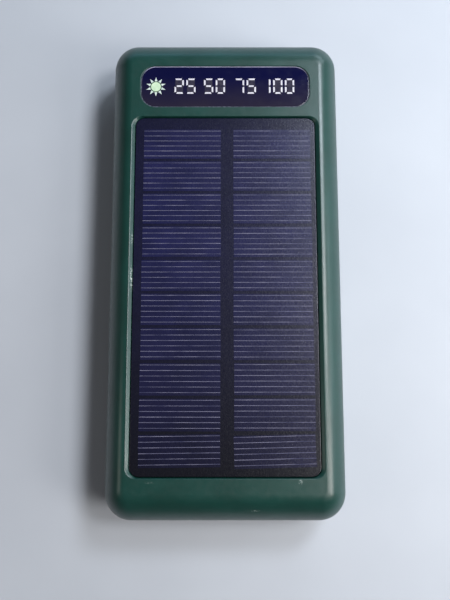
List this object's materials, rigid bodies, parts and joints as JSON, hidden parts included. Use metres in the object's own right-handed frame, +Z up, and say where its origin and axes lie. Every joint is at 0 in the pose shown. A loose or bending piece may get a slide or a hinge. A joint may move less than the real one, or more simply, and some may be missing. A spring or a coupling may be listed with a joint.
{
  "type": "solar power bank",
  "caption": "Slim two-shell portable battery with a solar panel and a charge display on its face, and sockets, a torch and a side button.",
  "frame": {"origin": "centre of the flat base, at the bottom of the housing", "axes": "+X across the housing towards the power button's side, +Y along it towards the display and sockets, +Z up out of the solar face"},
  "size_m": [0.07, 0.1456, 0.022],
  "materials": {
    "green_plastic": "satin moulded",
    "black_plastic": "satin moulded",
    "button_plastic": "satin moulded",
    "socket_plastic": "moulded",
    "smoked_plastic": "polished",
    "display_mask": "printed film",
    "clear_plastic": "polished",
    "clear_resin": "fine grain",
    "black_board": "solder mask",
    "green_board": "solder mask",
    "silicon": "screen printed",
    "plated_steel": "nickel plated",
    "bright_plating": "vacuum metallised",
    "led_resin": "moulded",
    "ferrite": "matt",
    "foam": "open cell",
    "pouch_foil": "embossed foil",
    "red_insulation": "smooth",
    "black_insulation": "smooth"
  },
  "bodies": {
    "case": {"battery_cell_lower": "pouch_foil", "battery_cell_upper": "pouch_foil", "battery_foam_lower": "foam", "battery_foam_upper": "foam", "battery_lead_black": "black_insulation", "battery_lead_red": "red_insulation", "battery_protection_board": "green_board", "capacitor": "plated_steel", "controller_chip": "black_plastic", "display_board": "green_board", "display_mask": "display_mask", "display_reflector": "black_plastic", "display_window": "smoked_plastic", "front_cover": "green_plastic", "inductor": "ferrite", "main_board": "green_board", "pcb_screw_1": "plated_steel", "pcb_screw_2": "plated_steel", "pcb_screw_3": "plated_steel", "pcb_screw_4": "plated_steel", "port_plate": "black_plastic", "rear_cover": "green_plastic", "solar_adhesive": "foam", "solar_board": "black_board", "solar_cell_left_1": "silicon", "solar_cell_left_10": "silicon", "solar_cell_left_2": "silicon", "solar_cell_left_3": "silicon", "solar_cell_left_4": "silicon", "solar_cell_left_5": "silicon", "solar_cell_left_6": "silicon", "solar_cell_left_7": "silicon", "solar_cell_left_8": "silicon", "solar_cell_left_9": "silicon", "solar_cell_right_1": "silicon", "solar_cell_right_10": "silicon", "solar_cell_right_2": "silicon", "solar_cell_right_3": "silicon", "solar_cell_right_4": "silicon", "solar_cell_right_5": "silicon", "solar_cell_right_6": "silicon", "solar_cell_right_7": "silicon", "solar_cell_right_8": "silicon", "solar_cell_right_9": "silicon", "solar_encapsulant": "clear_resin", "solar_lead_black": "black_insulation", "solar_lead_red": "red_insulation", "switch_body": "black_plastic", "torch_led": "led_resin", "torch_lens": "clear_plastic", "torch_reflector": "bright_plating", "usb_a_left_shell": "plated_steel", "usb_a_left_tongue": "socket_plastic", "usb_a_right_shell": "plated_steel", "usb_a_right_tongue": "socket_plastic", "usb_c_shell": "plated_steel", "usb_c_tongue": "socket_plastic"},
    "button": {"power_button": "button_plastic"},
    "plunger": {"switch_plunger": "black_plastic"}
  },
  "joints": [
    {"name": "button_press", "type": "slide", "parent": "case", "child": "button", "axis": [-1, 0, 0], "range_m": [0, 0.0004], "stiffness_N_per_m": 800, "springref_m": -0.0003},
    {"name": "plunger_press", "type": "slide", "parent": "case", "child": "plunger", "axis": [-1, 0, 0], "range_m": [0, 0.0004]}
  ],
  "couplings": [
    {"joint": "plunger_press", "follows": "button_press", "ratio": 1}
  ]
}
